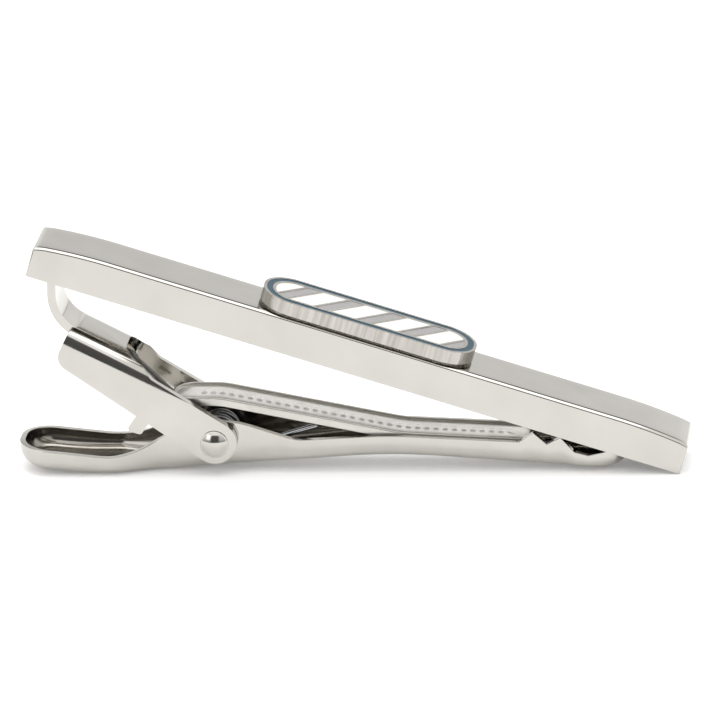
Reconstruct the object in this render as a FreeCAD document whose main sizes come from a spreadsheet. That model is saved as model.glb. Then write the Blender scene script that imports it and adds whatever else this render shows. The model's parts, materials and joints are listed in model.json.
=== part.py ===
import FreeCAD, Part
import math
import os
import re
import Sketcher

# Tie clip: a plated front bar with an enamelled plaque stands on a folded bracket. A trough-shaped
# lever turns on a rivet between the bracket's ears, and a torsion spring presses the lever's toothed
# nose against the back of the bar.
#
# Lengths are millimetres and angles are degrees. Each piece is drawn round the pivot: X runs from
# the thumb dish to the nose, Y along the pivot, Z up. The bracket and the bar have frames of their
# own, turned about Y. The finished clip lies on Z = 0, with X = Y = 0 at the middle of its box.

SIZES = {
    # Front bar: a shell that is open at the back, with a crowned face at both ends
    "bar_length": 60.0,
    "bar_width": 6.0,
    "bar_height": 3.35,
    "bar_end_height": 2.9,
    "bar_end_run": 4.2,
    "bar_crown_share": 0.9,
    "bar_edge": 0.35,
    "bar_wall": 0.8,
    "bar_hollow": 2.1,
    "bar_hollow_corner": 0.5,
    "bar_tilt": 18.27,
    # Bracket: a channel with rolled shoulders, whose ears lean down from its plate to the pivot
    "bracket_tilt": 28.0,
    "bracket_sheet": 0.75,
    "bracket_width": 6.6,
    "bracket_back": 15.9,
    "bracket_back_corner": 1.3,
    "bracket_end_round": 0.8,
    "bracket_fold": 1.9,
    "plate_top": 3.85,
    "plate_end": 9.5,
    "ear_lean": 8.0,
    "ear_end": 1.85,
    "ear_low": 1.85,
    "ear_high": 2.15,
    "ear_round": 1.85,
    "ear_neck_x": 7.9,
    "ear_neck": 1.72,
    "ear_step_round": 1.0,
    "notch_back": 10.75,
    "notch_corner": 1.5,
    "lug_middle": 6.42,
    "lug_width": 1.3,
    "lug_drop": 3.6,
    "lug_slope": 0.4,
    "lug_corner": 0.3,
    "lug_step": 0.3,
    # Tongue: from the bracket's plate up into the bar, ending in a foot under the bar's face
    "tongue_reach": 17.662,
    "tongue_sink": 0.13,
    "tongue_bend": 3.9,
    "tongue_lean": 25.4,
    "tongue_rise": 5.582,
    "foot_bend": 0.8,
    "foot_length": 8.0,
    "foot_setback": 1.75,
    "foot_gap": 0.1,
    # Pivot rivet with a domed head on each side
    "pin_radius": 0.75,
    "pin_clearance": 0.05,
    "rivet_fit": 0.01,
    "head_radius": 1.25,
    "head_height": 0.55,
    # Lever: a drawn trough
    "lever_sheet": 0.5,
    "lever_back": 17.84,
    "lever_nose": 36.2,
    "thumb_half_width": 3.35,
    "thumb_corner": 2.9,
    "thumb_end": 9.0,
    "neck_back": 5.2,
    "neck_front": 3.2,
    "neck_round": 4.0,
    "side_clearance": 0.1,
    "jaw_start": 7.0,
    "jaw_half_width": 2.65,
    "nose_corner": 2.2,
    "trough_round": 1.3,
    "thumb_rise": 0.61,
    "belly_back": 12.5,
    "belly_front": 5.0,
    "belly_depth": 3.08,
    "belly_round": 40.0,
    "crest_x": 15.5,
    "crest_depth": 1.535,
    "crest_round": 60.0,
    "nose_level": 3.0,
    "nose_depth": 2.9,
    "nose_round": 15.0,
    # Lever rim, from the thumb dish to the nose
    "rim_back_depth": 0.29,
    "rim_dish_x": 7.94,
    "rim_dish_depth": 1.47,
    "rim_dish_round": 8.0,
    "rim_ear_x": 0.97,
    "rim_ear_height": 2.71,
    "rim_ear_round": 9.0,
    "rim_waist_x": 7.17,
    "rim_waist_height": 0.09,
    "rim_waist_round": 5.0,
    "rim_arch_x": 15.4,
    "rim_arch_height": 0.5,
    "rim_arch_round": 40.0,
    "tooth_start": 27.0,
    "tooth_start_depth": 0.11,
    "tooth_pitch": 2.4,
    "tooth_first": 28.2,
    "tooth_valley_depth": 0.35,
    "tooth_first_gap": 0.4,
    "tooth_gap": 0.08,
    "tooth_drop_depth": 1.09,
    "mouth_middle": 33.0,
    "mouth_depth": 1.42,
    "mouth_end": 34.6,
    "nose_gap": 0.1,
    # Grip plate: a tray over the spring, held between the lever's walls at the jaw
    "grip_back": 3.92,
    "grip_back_height": 4.03,
    "grip_bend_x": 0.48,
    "grip_bend_height": 3.95,
    "grip_bend_round": 8.0,
    "grip_seat_x": 16.5,
    "grip_seat_height": 0.63,
    "grip_seat_round": 15.0,
    "grip_end": 26.6,
    "grip_end_height": 0.05,
    "grip_sheet": 0.4,
    "grip_rim": 0.45,
    "grip_rim_width": 0.42,
    "grip_corner": 2.0,
    "grip_side_gap": 0.05,
    # Torsion spring round the pivot
    "wire": 0.5,
    "coil_radius": 1.65,
    "coil_side_gap": 0.35,
    "coil_turns": 2,
    "leg_gap": 0.05,
    "bracket_leg": 13.7,
    "lever_leg": 9.0,
    # Plaque on the bar: rim, border cell, raised line, striped field
    "plaque_length": 19.5,
    "plaque_width": 6.2,
    "plaque_corner": 2.9,
    "plaque_height": 1.15,
    "plaque_foot_height": 0.3,
    "plaque_foot_inset": 0.6,
    "cell_depth": 0.45,
    "cell_line": 0.28,
    "border_width": 0.55,
    "stripe_lean": 35.0,
    "white_width": 2.2,
    "grey_width": 1.1,
    "enamel_dip": 0.04,
}

doc = FreeCAD.newDocument("tie_clip")
sheet = doc.addObject("Spreadsheet::Sheet", "sizes")
for row, (alias, amount) in enumerate(SIZES.items(), start=1):
    sheet.set("A%d" % row, str(amount))
    sheet.setAlias("A%d" % row, alias)
doc.recompute()


def bound(formula):
    """Turn a formula of size names into an expression on the sheet's cells."""
    return re.sub(r"[a-z][a-z_]*", lambda word: "sizes." + word[0] if word[0] in SIZES else word[0], formula)


def number(formula):
    """Work a formula of size names out as a number."""
    return float(sheet.evalExpression(bound(formula)))


# Places that several pieces share, as formulas of the sizes
PAST = "bar_length"  # cutting outlines reach this far, past every other piece
EAR_INNER = "(bracket_width / 2 - bracket_sheet)"
TONGUE_MIDDLE = "(plate_top - tongue_sink - bracket_sheet / 2)"
FOOT_MIDDLE = "(bar_hollow - bracket_sheet / 2)"
NECK_HALF = "(%s - side_clearance)" % EAR_INNER
GRIP_HALF = "(jaw_half_width - lever_sheet - grip_side_gap)"
TONGUE_WIDTH = "(bar_width - 2 * bar_wall - 2 * foot_gap)"
# The corner between tongue and foot, in the bracket's frame and then in the pivot's frame
TOP_X = "(-tongue_reach - tongue_rise * sin(tongue_lean))"
TOP_Z = "(%s + tongue_rise * cos(tongue_lean))" % TONGUE_MIDDLE
BAR_TURN = "(bracket_tilt - bar_tilt)"
KNEE_X = "(%s * cos(bracket_tilt) + %s * sin(bracket_tilt))" % (TOP_X, TOP_Z)
KNEE_Z = "(%s * cos(bracket_tilt) - %s * sin(bracket_tilt))" % (TOP_Z, TOP_X)
# The bar's left end at its back, in the pivot's frame
BAR_X = "(%s - foot_setback * cos(bar_tilt) - %s * sin(bar_tilt))" % (KNEE_X, FOOT_MIDDLE)
BAR_Z = "(%s + foot_setback * sin(bar_tilt) - %s * cos(bar_tilt))" % (KNEE_Z, FOOT_MIDDLE)
# The pivot's place in the finished clip, which lies on the lever's belly and the bar's far end
BAR_FAR_X = "(%s + bar_length * cos(bar_tilt) + bar_end_height * sin(bar_tilt))" % BAR_X
PIVOT_X = "((lever_back - %s) / 2)" % BAR_FAR_X
PIVOT_Z = "max(belly_depth; bar_length * sin(bar_tilt) - %s)" % BAR_Z


def bar_back(x):
    """Height of the bar's back above the pivot at a place x along the clip."""
    return "(%s - (%s - %s) * tan(bar_tilt))" % (BAR_Z, x, BAR_X)


def sketch_on(body, name, role, offset="0"):
    """Start a sketch on one of the body's own planes, moved along the plane's normal."""
    plane = next(feature for feature in body.Origin.OriginFeatures if feature.Role == role)
    sketch = body.newObject("Sketcher::SketchObject", name)
    sketch.AttachmentSupport = (plane, [""])
    sketch.MapMode = "FlatFace"
    sketch.setExpression("AttachmentOffset.Base.z", bound(offset))
    return sketch


def constrain(sketch, rules):
    """Add constraints in one go; a rule is a constraint, with the formula of its value or None."""
    first = sketch.ConstraintCount
    sketch.addConstraint([rule for rule, formula in rules])
    for index, (rule, formula) in enumerate(rules, start=first):
        if formula is not None:
            sketch.setExpression("Constraints[%d]" % index, bound(formula))


def place(geometry, vertex, x, y):
    """Rules that hold a vertex at a place given by two formulas."""
    return [
        (Sketcher.Constraint("DistanceX", -1, 1, geometry, vertex, number(x)), x),
        (Sketcher.Constraint("DistanceY", -1, 1, geometry, vertex, number(y)), y),
    ]


def draw_outline(sketch, corners, closed=True):
    """Draw lines through corners (x, y, radius), with a tangent arc wherever the radius isn't "0"."""
    points = [FreeCAD.Vector(number(x), number(y), 0) for x, y, radius in corners]
    count = len(points)
    enter = list(points)
    leave = list(points)
    arcs = {}
    for i, (x, y, radius) in enumerate(corners):
        if radius == "0":
            continue
        back = (points[i - 1] - points[i]).normalize()
        ahead = (points[(i + 1) % count] - points[i]).normalize()
        half = back.getAngle(ahead) / 2
        reach = number(radius) / math.tan(half)
        enter[i] = points[i] + back * reach
        leave[i] = points[i] + ahead * reach
        centre = points[i] + (back + ahead).normalize() * (number(radius) / math.sin(half))
        left_turn = ahead.cross(back).z > 0
        ends = [enter[i], leave[i]] if left_turn else [leave[i], enter[i]]
        angles = [math.atan2(end.y - centre.y, end.x - centre.x) for end in ends]
        circle = Part.Circle(centre, FreeCAD.Vector(0, 0, 1), number(radius))
        arcs[i] = (Part.ArcOfCircle(circle, angles[0], angles[1]), left_turn)
    sides = count if closed else count - 1
    for i in range(sides):
        sketch.addGeometry(Part.LineSegment(leave[i], enter[(i + 1) % count]))
    rules = []
    for i, (x, y, radius) in enumerate(corners):
        before = (i - 1) % count
        if i in arcs:
            arc, left_turn = arcs[i]
            bend = sketch.addGeometry(arc)
            mark = sketch.addGeometry(Part.Point(points[i]), True)
            start, end = (1, 2) if left_turn else (2, 1)
            rules.append((Sketcher.Constraint("Tangent", before, 2, bend, start), None))
            rules.append((Sketcher.Constraint("Tangent", bend, end, i, 1), None))
            rules.append((Sketcher.Constraint("Radius", bend, number(radius)), radius))
            rules.append((Sketcher.Constraint("PointOnObject", mark, 1, before), None))
            rules.append((Sketcher.Constraint("PointOnObject", mark, 1, i), None))
            rules.extend(place(mark, 1, x, y))
        elif i < sides:
            if closed or i > 0:
                rules.append((Sketcher.Constraint("Coincident", before, 2, i, 1), None))
            rules.extend(place(i, 1, x, y))
        else:
            rules.extend(place(before, 2, x, y))
    constrain(sketch, rules)


def new_body(name):
    """Start a body that may hold several separate solids."""
    body = doc.addObject("PartDesign::Body", name)
    body.AllowCompound = True
    return body


def extrude(body, kind, sketch, length, symmetric=False, reverse=False):
    """Pad or pocket a sketch; the length "through" cuts the whole body on both sides."""
    feature = body.newObject("PartDesign::" + kind, sketch.Name + "_" + kind.lower())
    feature.Profile = sketch
    feature.Reversed = reverse
    if symmetric:
        feature.SideType = "Symmetric"
    if length == "through":
        feature.Type = "ThroughAll"
    else:
        feature.setExpression("Length", bound(length))
    doc.recompute()
    return feature


def profile_solid(name, role, corners, length, offset="0", symmetric=True):
    """A body padded from one outline, on both sides of its plane or upwards from it."""
    body = new_body(name)
    sketch = sketch_on(body, name + "_outline", role, offset)
    draw_outline(sketch, corners)
    extrude(body, "Pad", sketch, length, symmetric)
    return body


def cut_profile(body, name, role, corners, length="through", reverse=False):
    """Pocket an outline into a body, right through it or to a depth on one side of its plane."""
    sketch = sketch_on(body, name, role)
    draw_outline(sketch, corners)
    solid = body.Shape.Volume
    extrude(body, "Pocket", sketch, length, length == "through" or not reverse, reverse)
    if body.Shape.Volume > solid - 1e-6:
        raise ValueError("pocket %s cuts nothing" % name)


def ease_edges(body, kind, name, amount, chosen):
    """Fillet or chamfer those edges of the body for which chosen(edge) is true."""
    base = body.Tip
    names = ["Edge%d" % i for i, edge in enumerate(base.Shape.Edges, start=1) if chosen(edge)]
    feature = body.newObject("PartDesign::" + kind, name)
    feature.Base = (base, names)
    feature.setExpression("Radius" if kind == "Fillet" else "Size", bound(amount))
    doc.recompute()


def boolean(kind, name, base, tool):
    """Part boolean of two document objects."""
    result = doc.addObject("Part::" + kind, name)
    result.Base = base
    result.Tool = tool
    doc.recompute()
    return result


def settle(piece, label, x="0", z="0", turn="0"):
    """Name a finished piece and put it in the clip: x and z from the pivot, turned about Y."""
    piece.Label = label
    piece.Placement = FreeCAD.Placement(
        FreeCAD.Vector(number(PIVOT_X + " + " + x), 0, number(PIVOT_Z + " + " + z)),
        FreeCAD.Rotation(FreeCAD.Vector(0, 1, 0), number(turn)),
    )
    return piece


def rectangle(x_low, x_high, y_half, radius="0"):
    """Corners of a rectangle that is centred on the sketch's X axis."""
    return [
        (x_low, "-" + y_half, radius),
        (x_high, "-" + y_half, radius),
        (x_high, y_half, radius),
        (x_low, y_half, radius),
    ]


def build_front_bar():
    """Crowned bar with softened face edges, hollowed from its back."""
    # The arc at each end takes a share of the slope from the end edge to the level face
    crown = "2 * bar_crown_share * bar_end_run ^ 2 / (bar_height - bar_end_height)"
    side = [
        ("0", "0", "0"),
        ("bar_length", "0", "0"),
        ("bar_length", "bar_end_height", "0"),
        ("bar_length - bar_end_run", "bar_height", crown),
        ("bar_end_run", "bar_height", crown),
        ("0", "bar_end_height", "0"),
    ]
    body = profile_solid("bar", "XZ_Plane", side, "bar_width")
    half = number("bar_width / 2")
    low = number("bar_end_height") - 1e-3
    ends = (0, number("bar_length"))

    def on_face_border(edge):
        places = [vertex.Point for vertex in edge.Vertexes]
        if min(point.z for point in places) < low:
            return False
        along = all(abs(point.y - places[0].y) < 1e-6 for point in places)
        at_end = any(all(abs(point.x - end) < 1e-6 for point in places) for end in ends)
        return at_end or (along and abs(abs(places[0].y) - half) < 1e-6)

    ease_edges(body, "Fillet", "bar_soft_edges", "bar_edge", on_face_border)
    inner = "(bar_width / 2 - bar_wall)"
    hollow = rectangle("bar_wall", "bar_length - bar_wall", inner, "bar_hollow_corner")
    cut_profile(body, "bar_hollow_outline", "XY_Plane", hollow, "bar_hollow", reverse=True)
    return settle(body, "front_bar", BAR_X, BAR_Z, "bar_tilt")


def leaning(along, height, radius):
    """Corner given along and across the ears, as a corner in the axes of the bracket's plate."""
    return (
        "((%s) * cos(ear_lean) + (%s) * sin(ear_lean))" % (along, height),
        "((%s) * cos(ear_lean) - (%s) * sin(ear_lean))" % (height, along),
        radius,
    )


def build_bracket():
    """Rolled channel with notched plate, round ears, stop lugs and a J tongue with a foot."""
    low_back = "(bracket_back * sin(ear_lean) - ear_low) / cos(ear_lean)"
    side = [
        ("-bracket_back", low_back, "bracket_back_corner"),
        leaning("ear_end", "-ear_low", "ear_round"),
        leaning("ear_end", "ear_high", "ear_round"),
        leaning("-ear_neck_x", "ear_neck", "ear_step_round"),
        ("-plate_end", "plate_top", "ear_step_round"),
        ("-bracket_back", "plate_top", "bracket_end_round"),
    ]
    body = profile_solid("bracket", "XZ_Plane", side, "bracket_width")
    for cheek, sign in (("near", "-"), ("far", "")):
        cut_profile(body, cheek + "_fold", "YZ_Plane", [
            (sign + PAST, "-ear_low", "0"),
            (sign + PAST, PAST, "0"),
            ("0", PAST, "0"),
            ("0", "plate_top", "0"),
            (sign + "bracket_width / 2", "plate_top", "bracket_fold"),
            (sign + "bracket_width / 2", "-ear_low", "0"),
        ])
    channel = [
        ("-" + EAR_INNER, "-" + PAST, "0"),
        (EAR_INNER, "-" + PAST, "0"),
        (EAR_INNER, "plate_top - bracket_sheet", "bracket_fold - bracket_sheet"),
        ("-" + EAR_INNER, "plate_top - bracket_sheet", "bracket_fold - bracket_sheet"),
    ]
    cut_profile(body, "bracket_channel", "YZ_Plane", channel)
    notch = [
        ("-notch_back", "-" + EAR_INNER, "notch_corner"),
        (PAST, "-" + EAR_INNER, "0"),
        (PAST, EAR_INNER, "0"),
        ("-notch_back", EAR_INNER, "notch_corner"),
    ]
    cut_profile(body, "bracket_notch", "XY_Plane", notch)
    add_lugs(body)
    hole = sketch_on(body, "bracket_pin_hole", "XZ_Plane")
    draw_circle(hole, "pin_radius + rivet_fit")
    extrude(body, "Pocket", hole, "through", symmetric=True)
    add_tongue(body)
    return settle(body, "clip_bracket", turn="bracket_tilt")


def draw_circle(sketch, radius):
    """A circle round the pivot."""
    centre = FreeCAD.Vector(0, 0, 0)
    ring = sketch.addGeometry(Part.Circle(centre, FreeCAD.Vector(0, 0, 1), number(radius)))
    constrain(sketch, [
        (Sketcher.Constraint("Coincident", ring, 3, -1, 1), None),
        (Sketcher.Constraint("Radius", ring, number(radius)), radius),
    ])


def add_lugs(body):
    """Two lugs under the cheeks, stepped inwards, which stop the lever when it is pressed."""
    lug = [
        leaning("-lug_middle - lug_width / 2", "-ear_low / 2", "0"),
        leaning("-lug_middle - lug_width / 2", "-lug_drop", "lug_corner"),
        leaning("-lug_middle + lug_width / 2", "lug_slope - lug_drop", "lug_corner"),
        leaning("-lug_middle + lug_width / 2", "-ear_low / 2", "0"),
    ]
    outside = "2 * (bracket_width / 2 - lug_step)"
    inside = "2 * (%s - lug_step)" % EAR_INNER
    sketch = sketch_on(body, "lug_outline", "XZ_Plane")
    draw_outline(sketch, lug)
    extrude(body, "Pad", sketch, outside, symmetric=True)
    gap = sketch_on(body, "lug_gap", "XZ_Plane")
    draw_outline(gap, [
        leaning("-lug_middle - lug_width", "-ear_low / 4", "0"),
        leaning("-lug_middle - lug_width", "-lug_drop - lug_width", "0"),
        leaning("-lug_middle + lug_width", "-lug_drop - lug_width", "0"),
        leaning("-lug_middle + lug_width", "-ear_low / 4", "0"),
    ])
    extrude(body, "Pocket", gap, inside, symmetric=True)


def add_tongue(body):
    """Strip from the plate up through the bar's back, bent over to a foot under the bar's face."""
    start = "(-notch_back - bracket_sheet / 2)"
    spine = sketch_on(body, "tongue_line", "XZ_Plane")
    draw_outline(spine, [
        (start, TONGUE_MIDDLE, "0"),
        ("-tongue_reach", TONGUE_MIDDLE, "tongue_bend"),
        (TOP_X, TOP_Z, "foot_bend"),
        (TOP_X + " + foot_length * cos" + BAR_TURN, TOP_Z + " + foot_length * sin" + BAR_TURN, "0"),
    ], closed=False)
    strip = sketch_on(body, "tongue_section", "YZ_Plane", start)
    half = TONGUE_WIDTH + " / 2"
    draw_outline(strip, [
        ("-" + half, TONGUE_MIDDLE + " - bracket_sheet / 2", "0"),
        (half, TONGUE_MIDDLE + " - bracket_sheet / 2", "0"),
        (half, TONGUE_MIDDLE + " + bracket_sheet / 2", "0"),
        ("-" + half, TONGUE_MIDDLE + " + bracket_sheet / 2", "0"),
    ])
    doc.recompute()
    pipe = body.newObject("PartDesign::AdditivePipe", "tongue")
    pipe.Profile = strip
    pipe.Spine = (spine, ["Edge%d" % i for i in range(1, len(spine.Shape.Edges) + 1)])
    doc.recompute()


def trough(name, inset, ease, ease_size):
    """Boat-shaped solid with eased bottom edges; the inset shrinks it by a sheet's thickness."""
    plan = []
    for sign, order in (("-", 1), ("", -1)):
        plan.extend([
            ("%s - lever_back" % inset, sign + "(thumb_half_width - %s)" % inset, "thumb_corner - " + inset),
            ("-thumb_end", sign + "(thumb_half_width - %s)" % inset, "neck_round - " + inset),
            ("-neck_back", sign + "(%s - %s)" % (NECK_HALF, inset), "neck_round + " + inset),
            ("neck_front", sign + "(%s - %s)" % (NECK_HALF, inset), "neck_round + " + inset),
            ("jaw_start", sign + "(jaw_half_width - %s)" % inset, "neck_round - " + inset),
            ("lever_nose - " + inset, sign + "(jaw_half_width - %s)" % inset, "nose_corner - " + inset),
        ][::order])
    body = profile_solid(name, "XY_Plane", plan, PAST)
    thumb_slope = "(thumb_rise / (lever_back - belly_back))"
    bottom = [
        ("-" + PAST, "%s - belly_depth + (%s - belly_back) * %s" % (inset, PAST, thumb_slope), "0"),
        ("-belly_back", "%s - belly_depth" % inset, "belly_round"),
        ("-belly_front", "%s - belly_depth" % inset, "belly_round"),
        ("crest_x", "%s - crest_depth" % inset, "crest_round"),
        ("lever_nose - nose_level", "%s - nose_depth" % inset, "nose_round"),
        (PAST, "%s - nose_depth" % inset, "0"),
        (PAST, "-" + PAST, "0"),
        ("-" + PAST, "-" + PAST, "0"),
    ]
    cut_profile(body, name + "_bottom", "XZ_Plane", bottom)
    roof = number(PAST) / 2 - 1e-3
    tips = (number(inset + " - lever_back"), number("lever_nose - " + inset))

    def along_bottom(edge):
        places = [vertex.Point for vertex in edge.Vertexes]
        if max(point.z for point in places) > roof:
            return False
        level = abs(places[0].x - places[-1].x) < 1e-6 and edge.Curve.TypeId == "Part::GeomLine"
        at_tip = min(abs(places[0].x - tip) for tip in tips) < 1e-6
        return at_tip or not level

    ease_edges(body, ease, name + "_eased", ease_size, along_bottom)
    return body


def build_lever():
    """Drawn trough, its rim cut to the thumb dish, pivot ears, arch, teeth and nose."""
    outside = trough("lever_outside", "0", "Fillet", "trough_round")
    inner_ease = "(2 - sqrt(2)) * (trough_round - lever_sheet)"
    inside = trough("lever_inside", "lever_sheet", "Chamfer", inner_ease)
    shell = boolean("Cut", "lever_shell", outside, inside)
    second = "(tooth_first + tooth_pitch)"
    valley = "(tooth_first + tooth_pitch / 2)"
    back = "(-lever_back - lever_sheet)"
    front = "(lever_nose + lever_sheet)"
    above = [
        (back, "-rim_back_depth", "0"),
        ("-rim_dish_x", "-rim_dish_depth", "rim_dish_round"),
        ("-rim_ear_x", "rim_ear_height", "rim_ear_round"),
        ("rim_waist_x", "rim_waist_height", "rim_waist_round"),
        ("rim_arch_x", "rim_arch_height", "rim_arch_round"),
        ("tooth_start", "-tooth_start_depth", "0"),
        ("tooth_first", bar_back("tooth_first") + " - tooth_first_gap", "0"),
        (valley, "-tooth_valley_depth", "0"),
        (second, bar_back(second) + " - tooth_gap", "0"),
        (second + " + tooth_pitch / 2", "-tooth_drop_depth", "0"),
        ("mouth_middle", "-mouth_depth", "0"),
        ("mouth_end", bar_back("mouth_end") + " - nose_gap", "0"),
        (front, bar_back(front) + " - nose_gap", "0"),
        (front, PAST, "0"),
        (back, PAST, "0"),
    ]
    cutter = profile_solid("lever_rim", "XZ_Plane", above, PAST)
    rimmed = boolean("Cut", "lever_rimmed", shell, cutter)
    drill = new_body("lever_drill")
    hole = sketch_on(drill, "lever_pin_hole", "XZ_Plane")
    draw_circle(hole, "pin_radius + pin_clearance")
    extrude(drill, "Pad", hole, PAST, symmetric=True)
    return settle(boolean("Cut", "lever_drilled", rimmed, drill), "lever")


def grip_line(x):
    """Height of the grip plate's rim over the pivot, on the straight run between its two bends."""
    slope = "(grip_bend_height - grip_seat_height) / (grip_seat_x - grip_bend_x)"
    return "(grip_bend_height - (%s - grip_bend_x) * %s)" % (x, slope)


def grip_layer(name, low, high, inset):
    """Bent strip between two heights over the grip plate's rim, with a round back end."""
    def level(lift):
        return [
            ("-2 * grip_back", "grip_back_height + " + lift, "0"),
            ("grip_bend_x", "grip_bend_height + " + lift, "grip_bend_round"),
            ("grip_seat_x", "grip_seat_height + " + lift, "grip_seat_round"),
            ("grip_end", "grip_end_height + " + lift, "0"),
        ]

    strip = profile_solid(name + "_strip", "XZ_Plane", level(low) + level(high)[::-1], PAST)
    half = "(%s - %s)" % (GRIP_HALF, inset)
    plan = [
        (inset + " - grip_back", "-" + half, "grip_corner - " + inset),
        (PAST, "-" + half, "0"),
        (PAST, half, "0"),
        (inset + " - grip_back", half, "grip_corner - " + inset),
    ]
    shadow = profile_solid(name + "_plan", "XY_Plane", plan, PAST)
    return boolean("Common", name, strip, shadow)


def build_grip_plate():
    """Strip bent along the lever, with a tray sunk in it that leaves a rim round sides and back."""
    block = grip_layer("grip_block", "(-grip_sheet - grip_rim)", "0", "0")
    tray = grip_layer("grip_tray", "(-grip_rim)", "grip_rim", "grip_rim_width")
    return settle(boolean("Cut", "grip", block, tray), "grip_plate")


def build_rivet():
    """Pin with two domed heads, turned about the pivot."""
    body = new_body("rivet")
    sketch = sketch_on(body, "rivet_section", "XY_Plane")
    seat = "(bracket_width / 2)"
    tip = "(bracket_width / 2 + head_height)"
    dome = "(head_radius ^ 2 + head_height ^ 2) / (2 * head_height)"
    corners = [
        ("0", "-" + tip),
        ("head_radius", "-" + seat),
        ("pin_radius", "-" + seat),
        ("pin_radius", seat),
        ("head_radius", seat),
        ("0", tip),
    ]
    points = [FreeCAD.Vector(number(x), number(y), 0) for x, y in corners]
    for i in range(1, 4):
        sketch.addGeometry(Part.LineSegment(points[i], points[i + 1]))
    axis_line = sketch.addGeometry(Part.LineSegment(points[5], points[0]))
    rules = []
    radius = number(dome)
    lean = math.asin(number("head_radius") / radius)
    low_centre = FreeCAD.Vector(0, points[0].y + radius, 0)
    high_centre = FreeCAD.Vector(0, points[5].y - radius, 0)
    normal = FreeCAD.Vector(0, 0, 1)
    quarter = math.pi / 2
    low_circle = Part.Circle(low_centre, normal, radius)
    high_circle = Part.Circle(high_centre, normal, radius)
    low = sketch.addGeometry(Part.ArcOfCircle(low_circle, -quarter, lean - quarter))
    high = sketch.addGeometry(Part.ArcOfCircle(high_circle, quarter - lean, quarter))
    chain = [low, 0, 1, 2, high, axis_line]
    for curve, following in zip(chain, chain[1:] + chain[:1]):
        rules.append((Sketcher.Constraint("Coincident", curve, 2, following, 1), None))
    for curve in (low, high):
        rules.append((Sketcher.Constraint("Radius", curve, radius), dome))
    for curve, (x, y) in zip(chain, corners):
        rules.extend(place(curve, 1, x, y))
    constrain(sketch, rules)
    turn = body.newObject("PartDesign::Revolution", "rivet_turned")
    turn.Profile = sketch
    turn.ReferenceAxis = (sketch, ["V_Axis"])
    turn.Angle = 360
    doc.recompute()
    return settle(body, "pivot_rivet")


def biarc(start, start_way, end, end_way):
    """Two arcs that join two points and keep both directions."""
    chord = end - start
    ways = start_way + end_way
    along = chord.dot(ways)
    share = 2 * (1 - start_way.dot(end_way))
    reach = (math.sqrt(along ** 2 + share * chord.dot(chord)) - along) / share
    first_corner = start + start_way * reach
    last_corner = end - end_way * reach
    middle = (first_corner + last_corner) * 0.5
    edges = []
    for low, corner, high in ((start, first_corner, middle), (middle, last_corner, end)):
        half_chord = (high - low).Length / 2
        waist = (low + high) * 0.5
        height = (corner - waist).Length
        bulge = half_chord * (math.sqrt(half_chord ** 2 + height ** 2) - half_chord) / height
        edges.append(Part.Arc(low, waist + (corner - waist).normalize() * bulge, high).toShape())
    return edges


def build_spring():
    """Wire from the underside of the bracket's plate, round the pivot, to that of the grip plate."""
    wire = number("wire")
    radius = number("coil_radius")
    half_length = number("%s - lever_sheet - coil_side_gap - wire / 2" % NECK_HALF)
    # Both legs touch the coil from below: one ends under the bracket, one under the grip plate
    tilt = math.radians(number("bracket_tilt"))
    bracket_x = -number("bracket_leg")
    bracket_z = number("%s - bracket_sheet / 2 - leg_gap - wire / 2" % TONGUE_MIDDLE)
    bracket_reach = math.hypot(bracket_x, bracket_z)
    first = math.atan2(bracket_z, bracket_x) + math.acos(radius / bracket_reach) - tilt
    lever_x = number("lever_leg")
    lever_z = number("%s - grip_rim - grip_sheet - leg_gap - wire / 2" % grip_line("lever_leg"))
    lever_reach = math.hypot(lever_x, lever_z)
    last = math.atan2(lever_z, lever_x) - math.acos(radius / lever_reach)
    while last - first < 2 * math.pi * number("coil_turns"):
        last += 2 * math.pi
    turn = last - first
    ramp = math.pi / 4
    pitch = 2 * half_length / (turn - ramp)

    def sideways(angle):
        """Distance along the pivot: the pitch grows at the start and fades at the end."""
        run = angle - first
        if run < ramp:
            return half_length - pitch * run ** 2 / (2 * ramp)
        if run > turn - ramp:
            return pitch * (turn - run) ** 2 / (2 * ramp) - half_length
        return half_length - pitch * (run - ramp / 2)

    def slope(angle):
        run = angle - first
        return -pitch * max(0.0, min(1.0, run / ramp, (turn - run) / ramp))

    def on_coil(angle):
        return FreeCAD.Vector(radius * math.cos(angle), sideways(angle), radius * math.sin(angle))

    def heading(angle):
        return FreeCAD.Vector(-radius * math.sin(angle), slope(angle), radius * math.cos(angle)).normalize()

    bracket_end = on_coil(first) - heading(first) * math.sqrt(bracket_reach ** 2 - radius ** 2)
    lever_end = on_coil(last) + heading(last) * math.sqrt(lever_reach ** 2 - radius ** 2)
    edges = [Part.LineSegment(bracket_end, on_coil(first)).toShape()]
    steps = math.ceil(turn / math.pi)
    angles = [first + turn * i / steps for i in range(steps + 1)]
    for low, high in zip(angles, angles[1:]):
        edges.extend(biarc(on_coil(low), heading(low), on_coil(high), heading(high)))
    edges.append(Part.LineSegment(on_coil(last), lever_end).toShape())
    path = Part.Wire(edges)
    section = Part.Wire(Part.makeCircle(wire / 2, bracket_end, heading(first)))
    solid = path.makePipeShell([section], True, False)
    report_coil(path, solid, wire)
    piece = doc.addObject("Part::Feature", "spring")
    piece.Shape = solid
    return settle(piece, "torsion_spring")


def report_coil(path, solid, wire):
    """Print the spring's volume against section times length, and its least gap to itself."""
    spacing = wire / 4
    points = path.discretize(Distance=spacing)
    skip = int(3 * wire / spacing)
    least = min(
        (points[i] - points[j]).Length
        for i in range(len(points))
        for j in range(i + skip, len(points))
    )
    expected = math.pi * (wire / 2) ** 2 * path.Length
    print("spring volume %.4f, section times length %.4f" % (solid.Volume, expected))
    print("spring least gap to itself %.3f mm" % (least - wire))


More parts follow.
